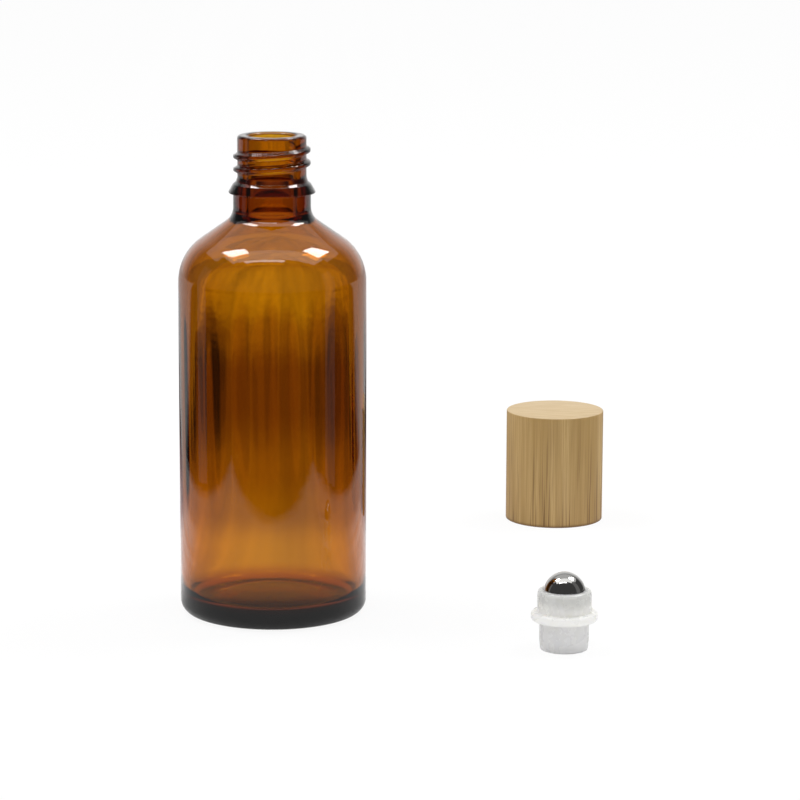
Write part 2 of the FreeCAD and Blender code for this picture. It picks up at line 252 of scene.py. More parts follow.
def write_round(piece, axis, angle, radius, height):
    places = np.stack([radius * np.cos(angle), radius * np.sin(angle), height], axis=1)
    piece.data.vertices.foreach_set("co", (places * MM + np.array(axis)).ravel())
    piece.data.update()


angle, radius, height = read_round(bottle, bottle_axis)
print(f"{len(radius)} vertices of glass, up to {radius.max():.2f} mm from the axis")

# %% Raise the ridge out of the neck
PITCH, THREAD_DROP, THREAD_HEIGHT = 3.0, 7.9, 0.95
THREAD_START, THREAD_TURNS, THREAD_FADE = math.pi, 1.5, 0.17
RIDGE_HALF, RIDGE_CREST = 1.0, 0.25
ON_NECK, NECK_LOW, NECK_HIGH = 0.02, COLLAR_LOW + 3, RIM - 0.5


def smooth(values):
    values = np.clip(values, 0, 1)
    return values * values * (3 - 2 * values)


def ridge_height(angle, height):
    """How far the screw ridge stands out of the neck, from 0 to 1."""
    raised = np.zeros_like(angle)
    for turn in range(-1, math.ceil(THREAD_TURNS) + 2):
        along = (angle - THREAD_START) / math.tau + turn
        level = RIM - THREAD_DROP + PITCH * along
        across = smooth((RIDGE_HALF - np.abs(height - level)) / (RIDGE_HALF - RIDGE_CREST))
        to_end = np.minimum(along + THREAD_FADE, THREAD_TURNS + THREAD_FADE - along)
        raised = np.maximum(raised, across * smooth(to_end / THREAD_FADE))
    return raised


on_neck = (np.abs(radius - NECK) < ON_NECK) & (height > NECK_LOW) & (height < NECK_HIGH)
radius[on_neck] += THREAD_HEIGHT * ridge_height(angle, height)[on_neck]
print(f"thread: {on_neck.sum()} vertices, {radius[on_neck].max() * 2:.2f} mm across")

# %% [markdown]
# ## Uneven glass inside
# Only the mould shapes the outside. The inside is shaped by air, so the wall is a little
# thicker here and thinner there, in long streaks that run up the bottle. They are far too
# fine to see as shape, but they bend what shows through the glass into upright bands, which
# is most of what makes blown glass look real. A few waves about the axis do it. Each has a
# count round the bottle, a size in millimetres and a place to start.

# %% Let the inner wall wander by up to a quarter of a millimetre
WAVES = [(2, 0.02, 0.4), (3, 0.03, 2.1), (5, 0.05, 1.0), (8, 0.055, 4.0), (13, 0.06, 2.6),
         (21, 0.045, 0.3), (34, 0.025, 5.1)]
TWIST, WAVES_LOW, WAVES_FADE = 0.001, 20.0, 20.0
inner_wall = np.abs(radius - inner_radius) < ON_LINE
drift = sum(size * np.sin(count * angle + phase + TWIST * count * height)
            for count, size, phase in WAVES)
below = smooth((RIM - SHOULDER_DROP - height) / WAVES_FADE)
above = smooth((height - WAVES_LOW) / WAVES_FADE)
radius[inner_wall] += (drift * above * below)[inner_wall]
write_round(bottle, bottle_axis, angle, radius, height)
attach(bottle, "bottle")
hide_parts("glass_bottle")
print(f"inner wall drifts from {drift.min():.2f} to {drift.max():.2f} mm")

# %% [markdown]
# ## The insert that holds the ball
# The insert is one soft plastic moulding: a hollow plug that grips the neck, a flange that
# stops on the rim, and a cup whose lip snaps over the ball's widest part. Everything that
# a mould makes has a radius, so every corner of the outline is rounded. The socket is an arc
# about the ball's centre, with a hair of room so that the ball can roll.

# %% Sizes of the insert
PLUG, PLUG_WALL, PLUG_LENGTH, PLUG_TAPER, PLUG_LEAD = 5.55, 1.25, 6.7, 0.2, 2.2
CUP, FLANGE, BALL_ROOM = 6.1, 2.0, 0.04
FEED, FEED_EDGE, FEED_ROUND, WEB = 2.4, 0.05, 0.15, 1.2
LEAD_ROUND, FLANGE_ROUND, LIP_ROUND = 3.0, 0.7, 0.8
MOUTH_ROUND, CORNER_ROUND, SOFT_ROUND = 0.25, 0.2, 0.3
SEAM, SOCKET_STEPS, WEB_STEPS = 1.0, 16, 4
SHARP = math.radians(40)
plug_bore = PLUG - PLUG_WALL
flange_top = PLUG_LENGTH + FLANGE
socket = BALL_RADIUS + BALL_ROOM
lip_rise = LIP - BALL_HEIGHT
lip_radius = math.sqrt(socket ** 2 - lip_rise ** 2)
lip_angle = math.asin(lip_rise / socket)
feed_low = BALL_HEIGHT - math.sqrt(socket ** 2 - FEED ** 2)
feed_angle = -math.acos(FEED / socket)
print(f"the lip is {lip_radius * 2:.2f} mm across, on a ball of {BALL_RADIUS * 2:.3f} mm")

# %% Turn the insert
moulding = rounded([
    (plug_bore, SEAM, 0), (plug_bore, 0, MOUTH_ROUND), (PLUG - PLUG_TAPER, 0, SOFT_ROUND),
    (PLUG, PLUG_LEAD, LEAD_ROUND), (PLUG, PLUG_LENGTH, CORNER_ROUND),
    (FLANGE_RADIUS, PLUG_LENGTH, FLANGE_ROUND), (FLANGE_RADIUS, flange_top, FLANGE_ROUND),
    (CUP, flange_top, SOFT_ROUND), (CUP, LIP, LIP_ROUND), (lip_radius, LIP, 0),
])
for step in range(1, SOCKET_STEPS + 1):
    turn = lip_angle + (feed_angle - lip_angle) * step / SOCKET_STEPS
    moulding.append(Vector((socket * math.cos(turn), BALL_HEIGHT + socket * math.sin(turn))))
moulding += rounded([
    (FEED, feed_low - FEED_EDGE, 0), (FEED, feed_low - WEB, FEED_ROUND),
    (plug_bore, feed_low - WEB, SOFT_ROUND), (plug_bore, SEAM, 0),
], WEB_STEPS)
housing = turn_piece("insert_moulding", moulding, insert_axis, MIDDLE_SPIN)
bpy.ops.object.shade_smooth_by_angle(angle=SHARP)
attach(housing, "insert")
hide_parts("roller_housing")

# %% [markdown]
# ## The bamboo shell
# The cap's shell is turned from solid bamboo and bored out for its liner. Its edges are
# only broken with sandpaper, so they look crisp, and a third of a millimetre of round is
# enough to catch a thin line of light.

# %% Turn the shell
SHELL_BORE, SHELL_TOP, SHELL_EDGE, BORE_CORNER, SHELL_STEPS = 10.35, 5.0, 0.3, 0.1, 5
bore_top = CAP_TOP - SHELL_TOP
turned = rounded([
    (0, CAP_TOP, 0), (CAP_RADIUS, CAP_TOP, SHELL_EDGE), (CAP_RADIUS, 0, SHELL_EDGE),
    (SHELL_BORE, 0, SHELL_EDGE), (SHELL_BORE, bore_top, BORE_CORNER), (0, bore_top, 0),
], SHELL_STEPS)
shell = turn_piece("cap_bamboo", turned, cap_axis, MIDDLE_SPIN)
bpy.ops.object.shade_smooth_by_angle(angle=SHARP)
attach(shell, "cap")
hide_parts("cap_shell")

# %% [markdown]
# ## The foam pad
# Under the liner's top lies a loose disc of foam, which seals the ball when the cap is
# screwed down. A used pad keeps a shallow dent where the ball presses. The disc is spun
# like the rest, with a soft edge and that dent in its lower face.

# %% Turn the pad
PAD_EDGE, PAD_STEPS = 0.35, 6
DENT_RADIUS, DENT, DENT_ROUND, DENT_LIP = 2.2, 0.22, 3.0, 1.0
DENT_MIDDLE, DENT_DEPTH = 0.6 * DENT_RADIUS, 0.8 * DENT
soft_disc = rounded([
    (0, PAD_BOTTOM + DENT, 0), (DENT_MIDDLE, PAD_BOTTOM + DENT_DEPTH, DENT_ROUND),
    (DENT_RADIUS, PAD_BOTTOM, DENT_LIP), (PAD_RADIUS, PAD_BOTTOM, PAD_EDGE),
    (PAD_RADIUS, PAD_TOP, PAD_EDGE), (0, PAD_TOP, 0),
], PAD_STEPS)
pad = turn_piece("pad_foam", soft_disc, cap_axis, PAD_SPIN)
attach(pad, "pad")
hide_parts("seal_pad")

# %% [markdown]
# ## Helpers for the finishes
# Each finish is a small tree of nodes. By hand one would add a node, type its values and
# draw its links. The helpers do the same in one line: an input gets a plain value, or a link
# where the value is the output of another node.

# %% Add a node and wire it
def feed(tree, socket, value):
    """Give an input a value, or a link where the value is another node's output."""
    if isinstance(value, bpy.types.NodeSocket):
        tree.links.new(value, socket)
    elif socket.type == "RGBA":
        socket.default_value = (*value, 1)
    else:
        socket.default_value = value


def wire(tree, node, inputs):
    for key, value in inputs.items():
        feed(tree, node.inputs[key], value)


def add_node(tree, kind, inputs=None, **settings):
    node = tree.nodes.new(kind)
    for key, value in settings.items():
        setattr(node, key, value)
    wire(tree, node, inputs or {})
    return node


# %% Sums and ranges
def calculate(tree, operation, *operands):
    """One Math node; each operand is a number or another node's output."""
    node = add_node(tree, "ShaderNodeMath", dict(enumerate(operands)), operation=operation)
    return node.outputs[0]


def stretch_range(tree, value, low, high, first=0.0, last=1.0):
    """From the first level at low to the last level at high, and level beyond both."""
    remap = add_node(tree, "ShaderNodeMapRange", {
        "Value": value, "From Min": low, "From Max": high, "To Min": first, "To Max": last})
    return remap.outputs["Result"]


# %% Colours and bumps
def blend_colour(tree, mask, first, second, way="MIX"):
    """Two colours mixed by a mask; each is a plain value or another node's output."""
    mix = add_node(tree, "ShaderNodeMix", {"Factor": mask, 6: first, 7: second},
                   data_type="RGBA", blend_type=way)
    return mix.outputs[2]


def tone(tree, value, low, high):
    """A colour that goes from one tone to another as the value goes from 0 to 1."""
    ramp = add_node(tree, "ShaderNodeValToRGB", {"Fac": value})
    ramp.color_ramp.elements[0].color = (*low, 1)
    ramp.color_ramp.elements[1].color = (*high, 1)
    return ramp.outputs["Color"]


def bump(tree, height, strength, depth_mm):
    node = add_node(tree, "ShaderNodeBump", {
        "Height": height, "Strength": strength, "Distance": depth_mm * MM})
    return node.outputs["Normal"]


# %% Start a finish, and dress a piece with it
def new_finish(name):
    """A material with its Principled shader, ready to be wired."""
    finish = bpy.data.materials.new(name)
    finish.use_nodes = True
    return finish, finish.node_tree, finish.node_tree.nodes["Principled BSDF"]


def dress(piece, finish):
    piece.data.materials.clear()
    piece.data.materials.append(finish)
    print(f"{piece.name} wears {finish.name}")


# %% [markdown]
# ## Shared patterns
# Two effects are used by several finishes, so they are node groups. Speckle gives an even
# grain with an adjustable size, for small changes of tone, the wobble of blown glass and the
# skin of a moulding. Smudge gives the slow, cloudy change of polish that handling leaves.

# %% An empty pattern, and noise in millimetres
def pattern_group(name, inputs, output):
    """An empty node group; inputs are names with their usual values."""
    group = bpy.data.node_groups.new(name, "ShaderNodeTree")
    for label, usual in inputs.items():
        entry = group.interface.new_socket(label, in_out="INPUT", socket_type="NodeSocketFloat")
        entry.default_value = usual
    group.interface.new_socket(output, in_out="OUTPUT", socket_type="NodeSocketFloat")
    return group, add_node(group, "NodeGroupInput"), add_node(group, "NodeGroupOutput")


def sized_noise(group, size_mm, detail, roughness):
    """Noise whose cells have a size in millimetres."""
    place = add_node(group, "ShaderNodeTexCoord")
    per_metre = calculate(group, "DIVIDE", 1 / MM, size_mm)
    noise = add_node(group, "ShaderNodeTexNoise", {
        "Vector": place.outputs["Object"], "Scale": per_metre, "Detail": detail,
        "Roughness": roughness})
    return noise.outputs["Fac"]


# %% Speckle
def make_speckle():
    group, entry, leave = pattern_group("Speckle", {"Cell Size mm": 0.2}, "Grain")
    noise = sized_noise(group, entry.outputs["Cell Size mm"], detail=3.0, roughness=0.6)
    feed(group, leave.inputs["Grain"], noise)
    return group


def grain(tree, cell_mm):
    node = add_node(tree, "ShaderNodeGroup", {"Cell Size mm": cell_mm}, node_tree=speckle)
    return node.outputs["Grain"]


speckle = make_speckle()
print("pattern:", speckle.name)

# %% Smudge
SMUDGE_LOW, SMUDGE_HIGH = 0.45, 0.75


def make_smudge():
    group, entry, leave = pattern_group(
        "Smudge", {"Clean": 0.02, "Touched": 0.1, "Patch Size mm": 12.0}, "Roughness")
    noise = sized_noise(group, entry.outputs["Patch Size mm"], detail=4.0, roughness=0.55)
    polish = stretch_range(group, noise, SMUDGE_LOW, SMUDGE_HIGH,
                           entry.outputs["Clean"], entry.outputs["Touched"])
    feed(group, leave.inputs["Roughness"], polish)
    return group


def handled(tree, clean, touched, patch_mm):
    """Roughness that goes from clean to touched in cloudy patches."""
    node = add_node(tree, "ShaderNodeGroup", {
        "Clean": clean, "Touched": touched, "Patch Size mm": patch_mm}, node_tree=smudge)
    return node.outputs["Roughness"]


smudge = make_smudge()
print("pattern:", smudge.name)

# %% [markdown]
# ## Amber glass
# Glass is not painted brown. It is clear, and its colour comes from the distance that light
# travels in it: thin walls glow orange, and the thick base is nearly black. So the surface
# stays colourless, and an absorption volume takes blue first, then green. The skin of blown
# glass is not optically flat either, so a very low, wide bump makes reflections wobble.

# %% Glass with colour in its depth
AMBER_THROUGH = (0.888, 0.741, 0.005)
AMBER_DENSITY = 1700.0


def make_amber_glass():
    finish, tree, shader = new_finish("amber_glass_blown")
    wire(tree, shader, {
        "Base Color": (1, 1, 1), "Transmission Weight": 1.0, "IOR": 1.52,
        "Roughness": handled(tree, clean=0.0, touched=0.035, patch_mm=16.0),
        "Normal": bump(tree, grain(tree, cell_mm=9.0), strength=0.12, depth_mm=0.25)})
    depth = add_node(tree, "ShaderNodeVolumeAbsorption", {
        "Color": AMBER_THROUGH, "Density": AMBER_DENSITY})
    wire(tree, tree.nodes["Material Output"], {"Volume": depth.outputs["Volume"]})
    return finish


dress(bottle, make_amber_glass())

# %% [markdown]
# ## Milky plastic
# Natural polypropylene lets light in but not images: edges glow, and the dark ball shows
# through the cup only as a grey cloud. Light that is scattered under the surface gives the
# glow, with a little rough transmission. A path through the wall to the ball would come out
# noisy, so the cloud is painted shade instead: a grey tint in the plastic's colour, which
# fades with the distance from the ball's centre. The fine skin of the mould is a speckle
# with almost no depth.

# %% Natural polypropylene
MILK_LOW, MILK_HIGH = (0.885, 0.875, 0.82), (0.925, 0.915, 0.87)
# Painted shade of the ball seen through the cup: its grey, full within the near distance from
# the ball's centre and gone at the far one, in millimetres.
BALL_SHADE, BALL_SHADE_NEAR, BALL_SHADE_FAR = (0.68, 0.69, 0.70), BALL_RADIUS + 1.2, BALL_RADIUS + 2.2
GLOW_DEPTH = 4.0
ball_centre = Vector((insert_axis.x, insert_axis.y, BALL_HEIGHT * MM))


def make_milky_plastic():
    finish, tree, shader = new_finish("natural_plastic")
    place = add_node(tree, "ShaderNodeTexCoord")
    from_ball = add_node(tree, "ShaderNodeVectorMath", {
        0: place.outputs["Object"], 1: ball_centre}, operation="DISTANCE")
    shade_by_ball = add_node(tree, "ShaderNodeMapRange", {
        "Value": from_ball.outputs["Value"], "From Min": BALL_SHADE_FAR * MM,
        "From Max": BALL_SHADE_NEAR * MM}, interpolation_type="SMOOTHSTEP")
    milk = tone(tree, grain(tree, cell_mm=2.5), MILK_LOW, MILK_HIGH)
    wire(tree, shader, {
        # The ball's painted shade is multiplied into the milky colour.
        "Base Color": blend_colour(tree, shade_by_ball.outputs["Result"], milk, BALL_SHADE, "MULTIPLY"),
        "Transmission Weight": 0.08, "IOR": 1.49, "Subsurface Weight": 1.0,
        "Subsurface Radius": (1.0, 1.0, 0.9), "Subsurface Scale": GLOW_DEPTH * MM,
        "Roughness": handled(tree, clean=0.26, touched=0.4, patch_mm=3.0),
        "Normal": bump(tree, grain(tree, cell_mm=0.25), strength=0.15, depth_mm=0.02)})
    return finish


dress(housing, make_milky_plastic())

# %% [markdown]
# ## Polished steel
# A mirror shows the room and hardly any colour of its own. The measured ball is a true
# sphere already, so it stays, and only gets its finish: metal whose tone and polish vary a
# little where fingers touched it.

# %% Steel for the ball
STEEL_LOW, STEEL_HIGH = (0.40, 0.395, 0.38), (0.50, 0.495, 0.48)


def make_polished_steel():
    finish, tree, shader = new_finish("polished_steel_ball")
    wire(tree, shader, {
        "Base Color": tone(tree, grain(tree, cell_mm=1.2), STEEL_LOW, STEEL_HIGH),
        "Metallic": 1.0,
        "Roughness": handled(tree, clean=0.03, touched=0.12, patch_mm=4.0)})
    return finish


dress(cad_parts["roller_ball"], make_polished_steel())

# %% [markdown]
# ## Bamboo
# Bamboo is a bundle of straight fibres. Seen from the side they are long thin streaks, and
# seen on the cut end they are dots. One solid pattern gives both: noise in space that is
# squeezed across the cap and stretched along its height. Several sizes are mixed: broad pale
# bands from the strips, fine fibre lines, and dark bundles that come in clusters and are
# strongest near the mouth. The cut end is paler, with faint lines from the sanding belt, and
# the last millimetre of the side at the mouth is darkened as a painted contact shadow
# where the cap stands on the table.

# %% Patterns that run along the cap
WOOD_ROUGHNESS = 0.55
# Grain across and along in millimetres, detail, and a place in the noise.
BANDS, FIBRES = (3.2, 90.0, 2.0, 3.1), (0.22, 18.0, 3.0, 7.7)
BUNDLES, CLUSTERS = (0.42, 26.0, 2.0, 12.9), (2.0, 30.0, 1.0, 21.3)


def along_cap(tree, place, across_mm, along_mm, detail, seed):
    """Noise that is fine across the cap and long along its height."""
    mapping = add_node(tree, "ShaderNodeMapping", {
        "Vector": place.outputs["Object"], "Location": (seed, seed * 0.7, seed * 0.3),
        "Scale": (1 / (across_mm * MM), 1 / (across_mm * MM), 1 / (along_mm * MM))})
    noise = add_node(tree, "ShaderNodeTexNoise", {
        "Vector": mapping.outputs["Vector"], "Scale": 1.0, "Detail": detail,
        "Roughness": WOOD_ROUGHNESS})
    return noise.outputs["Fac"]


def height_mask(tree, place, low_mm, high_mm):
    """0 at the first height and 1 at the second, and level beyond both."""
    split = add_node(tree, "ShaderNodeSeparateXYZ", {0: place.outputs["Object"]})
    return stretch_range(tree, split.outputs["Z"], low_mm * MM, high_mm * MM)


print("bamboo bands are about", BANDS[0], "mm wide, and fibres", FIBRES[0], "mm")

# %% The side of the cap
BAMBOO_PALE, BAMBOO_MID = (0.52, 0.345, 0.13), (0.365, 0.22, 0.062)
BAMBOO_DARK = (0.155, 0.075, 0.015)
# The level of its noise at which a pattern starts to show, and at which it shows fully.
BANDS_SHOW, FIBRES_SHOW = (0.35, 0.65), (0.56, 0.42)
BUNDLES_SHOW, CLUSTERS_SHOW = (0.51, 0.59), (0.35, 0.55)
FIBRE_SHARE, LEAST_BUNDLE = 0.7, 0.3
BUNDLES_END, BUNDLES_FULL = 1.15 * CAP_TOP, -0.15 * CAP_TOP


def bamboo_side(tree, place, fibres):
    """Bands, then fibre lines, then dark bundles in clusters."""
    bands = stretch_range(tree, along_cap(tree, place, *BANDS), *BANDS_SHOW)
    banded = blend_colour(tree, bands, BAMBOO_MID, BAMBOO_PALE)
    lines = calculate(tree, "MULTIPLY", FIBRE_SHARE, stretch_range(tree, fibres, *FIBRES_SHOW))
    lined = blend_colour(tree, lines, banded, BAMBOO_MID)
    clusters = stretch_range(tree, along_cap(tree, place, *CLUSTERS), *CLUSTERS_SHOW)
    dark = stretch_range(tree, along_cap(tree, place, *BUNDLES), *BUNDLES_SHOW)
    dark = calculate(tree, "MULTIPLY", dark, calculate(tree, "MAXIMUM", clusters, LEAST_BUNDLE))
    lower = height_mask(tree, place, BUNDLES_END, BUNDLES_FULL)
    return blend_colour(tree, calculate(tree, "MULTIPLY", dark, lower), lined, BAMBOO_DARK)


print(f"outside a cluster, a dark bundle keeps {LEAST_BUNDLE:.0%} of its strength")

# %% The cut end, and the whole cap
BAMBOO_CUT, BAMBOO_GRAIN = (0.60, 0.45, 0.25), (0.49, 0.34, 0.16)
SANDING_TURN, SANDING_LONG, SANDING_WIDE = math.radians(-25), 7.0, 0.5
SANDING_SHOWS = (0.35, 0.7)
END_STARTS, END_FULL = CAP_TOP - 0.2, CAP_TOP - 0.05
# Painted contact shadow at the mouth: none above the first height, full below the second, in
# millimetres.
CONTACT_SHADE_ENDS, CONTACT_SHADE_FULL = 0.9, 0.1


def bamboo_end(tree, place):
    """The cut end, with faint lines from the sanding belt."""
    sanding = add_node(tree, "ShaderNodeMapping", {
        "Vector": place.outputs["Object"], "Rotation": (0, 0, SANDING_TURN),
        "Scale": (1 / (SANDING_LONG * MM), 1 / (SANDING_WIDE * MM), 1)})
    scratches = add_node(tree, "ShaderNodeTexNoise", {
        "Vector": sanding.outputs["Vector"], "Scale": 1.0, "Detail": 3.0})
    lines = stretch_range(tree, scratches.outputs["Fac"], *SANDING_SHOWS)
    return blend_colour(tree, lines, BAMBOO_CUT, BAMBOO_GRAIN)


def make_bamboo():
    finish, tree, shader = new_finish("turned_bamboo")
    place = add_node(tree, "ShaderNodeTexCoord")
    fibres = along_cap(tree, place, *FIBRES)
    end = height_mask(tree, place, END_STARTS, END_FULL)
    whole = blend_colour(tree, end, bamboo_side(tree, place, fibres), bamboo_end(tree, place))
    contact_shade = height_mask(tree, place, CONTACT_SHADE_ENDS, CONTACT_SHADE_FULL)
    wire(tree, shader, {
        # The painted contact shadow darkens the mouth edge to the dark bamboo colour.
        "Base Color": blend_colour(tree, contact_shade, whole, BAMBOO_DARK),
        "Roughness": stretch_range(tree, fibres, 0.0, 1.0, first=0.42, last=0.62),
        "Normal": bump(tree, fibres, strength=0.25, depth_mm=0.05)})
    return finish


dress(shell, make_bamboo())

# %% [markdown]
# ## The pieces inside the cap
# The liner is a plain white moulding, and its measured shape, thread and all, is right as
# it is. The pad is foam with closed cells, so it gets small round pits.

# %% White moulding and foam
WHITE_LOW, WHITE_HIGH = (0.74, 0.73, 0.70), (0.84, 0.83, 0.80)
FOAM_WALL, FOAM_PIT, FOAM_CELL = (0.78, 0.78, 0.76), (0.88, 0.88, 0.86), 0.35


def make_white_moulding():
    finish, tree, shader = new_finish("white_moulding")
    wire(tree, shader, {
        "Base Color": tone(tree, grain(tree, cell_mm=3.0), WHITE_LOW, WHITE_HIGH),
        "Roughness": handled(tree, clean=0.3, touched=0.45, patch_mm=4.0),
        "Normal": bump(tree, grain(tree, cell_mm=0.3), strength=0.15, depth_mm=0.02)})
    return finish


def make_foam():
    finish, tree, shader = new_finish("closed_cell_foam")
    place = add_node(tree, "ShaderNodeTexCoord")
    cells = add_node(tree, "ShaderNodeTexVoronoi", {
        "Vector": place.outputs["Object"], "Scale": 1 / (FOAM_CELL * MM)}).outputs["Distance"]
    wire(tree, shader, {
        "Base Color": tone(tree, cells, FOAM_PIT, FOAM_WALL), "Roughness": 0.75,
        "Normal": bump(tree, cells, strength=0.3, depth_mm=0.08)})
    return finish


dress(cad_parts["cap_liner"], make_white_moulding())
dress(pad, make_foam())

# %% [markdown]
# ## The camera
# The picture was taken with a long lens from a little above: the rim's ellipse is flatter
# than the base's, and that difference gives the distance. The camera stands 76 cm in front
# of the bottle and 20 cm above the table, and looks down by 11 degrees. The bottle is left
# of the middle because the lens is shifted, not because the camera is turned.

# %% Camera
IMAGE, FOCAL_PIXELS, SENSOR = 800, 3348.0, 36.0
CAMERA_PLACE = Vector((14.7, -764.0, 200.0)) * MM
LOOK_DOWN = math.radians(11.1)
ASIDE_PIXELS = 64.0
camera_data = bpy.data.cameras.new("camera")
camera_data.sensor_width = SENSOR
camera_data.lens = FOCAL_PIXELS / IMAGE * SENSOR
camera_data.shift_x = ASIDE_PIXELS / IMAGE
camera = bpy.data.objects.new("camera", camera_data)
camera.location = CAMERA_PLACE
camera.rotation_euler = (math.pi / 2 - LOOK_DOWN, 0, 0)
bpy.context.scene.collection.objects.link(camera)
bpy.context.scene.camera = camera
print(f"lens {camera_data.lens:.1f} mm")

# %% [markdown]
# ## The table
# The picture has a white ground with hardly a shadow. A floor that is partly lit and partly
# glowing gives that: the glow makes it white to the camera, to mirrors and through glass,
# and the lit part keeps a soft shadow under each item, so that nothing seems to float.

# %% White floor
FLOOR_SIZE, GLOW_SHARE, FLOOR_PAINT = 8.0, 0.9, (0.9, 0.9, 0.9)


def seen_directly(tree):
    """1 for rays from the camera and for those that a mirror or glass passed on."""
    path = add_node(tree, "ShaderNodeLightPath").outputs
    seen = calculate(tree, "MAXIMUM", path["Is Camera Ray"], path["Is Glossy Ray"])
    return calculate(tree, "MAXIMUM", seen, path["Is Transmission Ray"])


def make_floor():
    bpy.ops.object.select_all(action="DESELECT")
    bpy.ops.mesh.primitive_plane_add(size=FLOOR_SIZE)
    floor = bpy.context.object
    floor.name = "table"
    finish, tree, shader = new_finish("white_table")
    wire(tree, shader, {"Base Color": FLOOR_PAINT, "Roughness": 0.9})
    glow = add_node(tree, "ShaderNodeEmission", {"Color": (1, 1, 1), "Strength": 1.0})
    share = calculate(tree, "MULTIPLY", seen_directly(tree), GLOW_SHARE)
    mix = add_node(tree, "ShaderNodeMixShader", {
        0: share, 1: shader.outputs[0], 2: glow.outputs[0]})
    wire(tree, tree.nodes["Material Output"], {"Surface": mix.outputs[0]})
    floor.data.materials.append(finish)
    print(f"{floor.name}: {FLOOR_SIZE} m square, {GLOW_SHARE:.0%} glow")


make_floor()

# %% [markdown]
# ## Cards for the reflections
# On plain white, glass and steel lose their shape. A photographer darkens the room around
# the table, and the mirrored edges draw the curves. The cards here are seen only by mirrors
# and through glass. The one on the ground is grey paper with a darker room around it: its
# front edge, mirrored in the round wall, is the wavy line across the lower bottle. Behind
# the bottle it carries the bottle's own long shadow, which shows through the glass. A dim
# strip on each side draws a soft line along the wall, and a dim dome is the room.

# %% Cards that only mirrors and glass see
def hide_but_mirrored(card):
    """Leave a stage piece to mirrors and glass only."""
    card.visible_camera = False
    card.visible_diffuse = False
    card.visible_shadow = False
    card.visible_volume_scatter = False


def glow_material(name, strength):
    finish = bpy.data.materials.new(name)
    finish.use_nodes = True
    tree = finish.node_tree
    tree.nodes.clear()
    glow = add_node(tree, "ShaderNodeEmission", {"Strength": strength})
    add_node(tree, "ShaderNodeOutputMaterial", {"Surface": glow.outputs[0]})
    return finish, tree, glow


def make_card(name, corners, strength):
    """A flat card with these corners, in millimetres."""
    mesh = bpy.data.meshes.new(name)
    mesh.from_pydata([Vector(corner) * MM for corner in corners], [], [range(len(corners))])
    card = bpy.data.objects.new(name, mesh)
    bpy.context.scene.collection.objects.link(card)
    finish, tree, glow = glow_material(name, strength)
    mesh.materials.append(finish)
    hide_but_mirrored(card)
    print(f"card {name}, strength {strength}")
    return tree, glow


# %% What is dark on the ground
PAPER_HALF, PAPER_FRONT, PAPER_SOFT = 150.0, -133.0, 8.0
PAPER_SLANT, SLANT_CLEAR, SLANT_DARK = 0.33, 90.0, 50.0
UNDER_EDGE, UNDER_DARK = 21.5, 19.0


def dark_ground(tree, place, aside, back):
    """1 around the paper and under the bottle, where nothing lights the ground."""
    beside = stretch_range(tree, aside, (PAPER_HALF - PAPER_SOFT) * MM,
                           (PAPER_HALF + PAPER_SOFT) * MM)
    # The paper widens behind the bottle, so the dark sides end along a slanted line.
    slant = calculate(tree, "SUBTRACT", back, calculate(tree, "MULTIPLY", aside, PAPER_SLANT))
    beside = calculate(tree, "MULTIPLY", beside,
                       stretch_range(tree, slant, SLANT_CLEAR * MM, SLANT_DARK * MM))
    before = stretch_range(tree, back, (PAPER_FRONT + PAPER_SOFT) * MM,
                           (PAPER_FRONT - PAPER_SOFT) * MM)
    reach = add_node(tree, "ShaderNodeVectorMath", {0: place.outputs["Object"]},
                     operation="LENGTH")
    under = stretch_range(tree, reach.outputs["Value"], UNDER_EDGE * MM, UNDER_DARK * MM)
    return calculate(tree, "MAXIMUM", calculate(tree, "MAXIMUM", beside, before), under)


print(f"paper {2 * PAPER_HALF:.0f} mm wide, from {-PAPER_FRONT:.0f} mm in front of the bottle")

# %% The bottle's shadow, along its length
# Metres behind the bottle, and how bright the ground is there.
NEAR_END, FAR_END = (0.06, (1.15, 1.12, 1.12)), (1.0, (0.8, 0.75, 0.75))
SHADOW_LEVELS = [(0.10, 0.68), (0.15, 0.53), (0.24, 0.34), (0.30, 0.34), (0.37, 0.56),
                 (0.45, 0.93), (0.57, 0.95), (0.70, 0.9), (0.80, 0.8), (0.86, 0.8)]
SHADOW_TINT = 1.5


def shadow_along(tree, back):
    """The shadow's colour along its length: less light is a little redder."""
    ramp = add_node(tree, "ShaderNodeValToRGB", {"Fac": stretch_range(tree, back, 0.0, 1.0)})
    ramp.color_ramp.interpolation = "EASE"
    stops = ramp.color_ramp.elements
    for stop, (position, colour) in zip(stops, (NEAR_END, FAR_END)):
        stop.position = position
        stop.color = (*colour, 1)
    for position, level in SHADOW_LEVELS:
        stops.new(position).color = (level, level ** SHADOW_TINT, level ** SHADOW_TINT, 1)
    return ramp.outputs["Color"]


print("the shadow is followed for", FAR_END[0], "m behind the bottle")

# %% The bottle's shadow, across its width
SHADOW_CORE, SHADOW_DEEP, SIDE_LEVEL = 18.0, 70.0, 0.17
DEEPENS, LIGHTENS = (120.0, 200.0), (450.0, 330.0)
STREAK_WIDTH, STREAK_LENGTH, STREAK_DIM, STREAK_BRIGHT = 14.0, 900.0, 0.72, 1.3
STREAKS_SHOW = (0.3, 0.7)


def grey(level):
    return (level, level, level)


